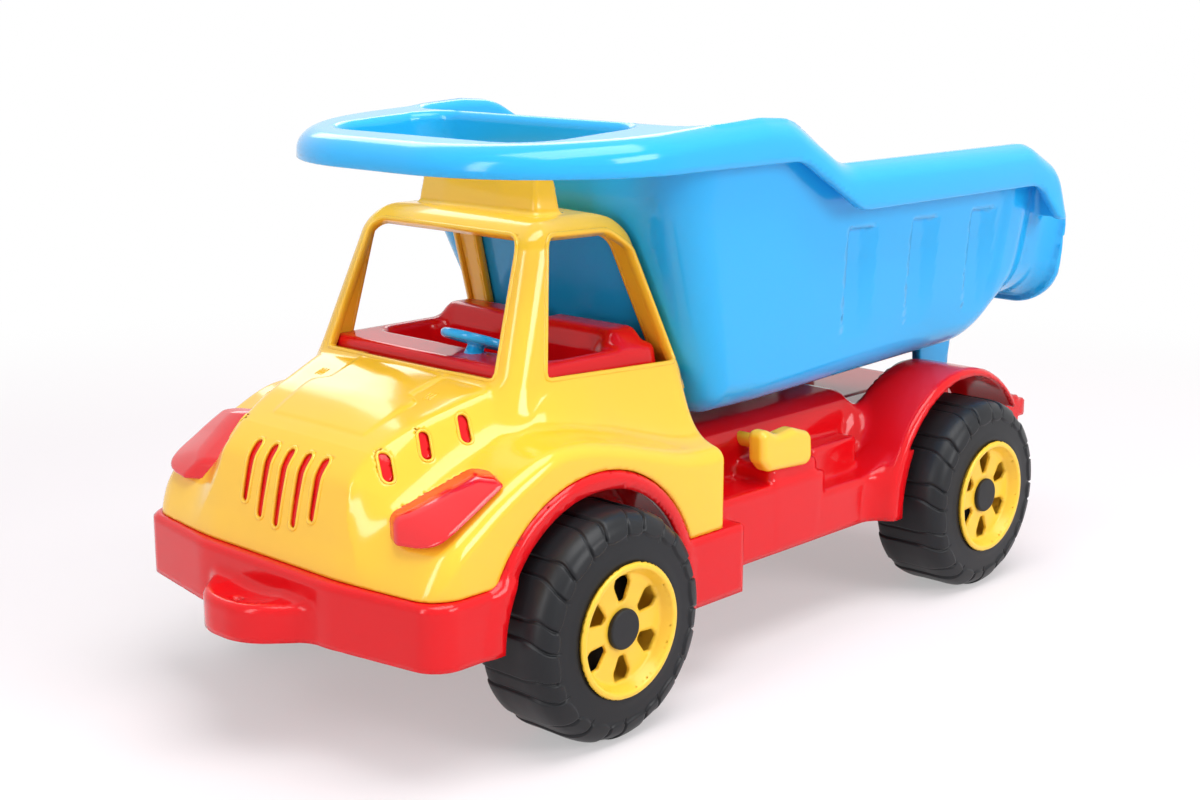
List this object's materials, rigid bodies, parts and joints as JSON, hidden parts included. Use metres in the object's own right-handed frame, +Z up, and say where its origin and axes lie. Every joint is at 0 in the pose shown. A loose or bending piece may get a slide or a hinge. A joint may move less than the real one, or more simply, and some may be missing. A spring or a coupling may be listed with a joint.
{
  "type": "toy dump truck",
  "caption": "Large plastic push-along toy dump truck with an open cab, a tipping bed with a handle canopy over the cab, and free-rolling wheels.",
  "frame": {"origin": "centre of the whole toy's footprint, on the floor under the tyres", "axes": "+X forward, +Y to the truck's left side, +Z up"},
  "size_m": [0.587, 0.265, 0.29],
  "materials": {
    "red_plastic": "glossy moulded polypropylene",
    "red_inner": "glossy moulded polypropylene",
    "lamp_red": "very glossy moulded plastic",
    "blue_plastic": "glossy moulded polypropylene",
    "yellow_plastic": "glossy moulded polypropylene",
    "yellow_rim": "satin moulded plastic",
    "black_tyre": "semi-gloss moulded plastic",
    "black_cap": "fine-grained black plastic",
    "steel": "bright drawn steel rod"
  },
  "bodies": {
    "truck": {"chassis": "red_plastic", "cab_shell": "yellow_plastic", "cab_interior": "red_inner", "grille_backing": "red_inner", "headlight_left": "lamp_red", "headlight_right": "lamp_red", "axle_front": "steel", "axle_rear": "steel", "hinge_pin_left": "steel", "hinge_pin_right": "steel", "tip_lever": "yellow_plastic"},
    "bed": {"bed": "blue_plastic"},
    "steering": {"steering_wheel": "blue_plastic"},
    "wheel_front_left": {"tyre_front_left": "black_tyre", "rim_front_left": "yellow_rim", "hub_cap_front_left": "black_cap"},
    "wheel_front_right": {"tyre_front_right": "black_tyre", "rim_front_right": "yellow_rim", "hub_cap_front_right": "black_cap"},
    "wheel_rear_left": {"tyre_rear_left": "black_tyre", "rim_rear_left": "yellow_rim", "hub_cap_rear_left": "black_cap"},
    "wheel_rear_right": {"tyre_rear_right": "black_tyre", "rim_rear_right": "yellow_rim", "hub_cap_rear_right": "black_cap"}
  },
  "joints": [
    {"name": "bed_tip", "type": "hinge", "parent": "truck", "child": "bed", "pos_m": [-0.2155, 0, 0.106], "axis": [0, -1, 0], "range_deg": [0, 45]},
    {"name": "steering_turn", "type": "hinge", "parent": "truck", "child": "steering", "pos_m": [0.1495, 0.022, 0.181], "axis": [-0.342, 0, 0.9397], "continuous": true},
    {"name": "wheel_front_left_spin", "type": "hinge", "parent": "truck", "child": "wheel_front_left", "pos_m": [0.1555, 0.108, 0.057], "axis": [0, 1, 0], "continuous": true},
    {"name": "wheel_front_right_spin", "type": "hinge", "parent": "truck", "child": "wheel_front_right", "pos_m": [0.1555, -0.108, 0.057], "axis": [0, 1, 0], "continuous": true},
    {"name": "wheel_rear_left_spin", "type": "hinge", "parent": "truck", "child": "wheel_rear_left", "pos_m": [-0.1655, 0.108, 0.057], "axis": [0, 1, 0], "continuous": true},
    {"name": "wheel_rear_right_spin", "type": "hinge", "parent": "truck", "child": "wheel_rear_right", "pos_m": [-0.1655, -0.108, 0.057], "axis": [0, 1, 0], "continuous": true}
  ]
}
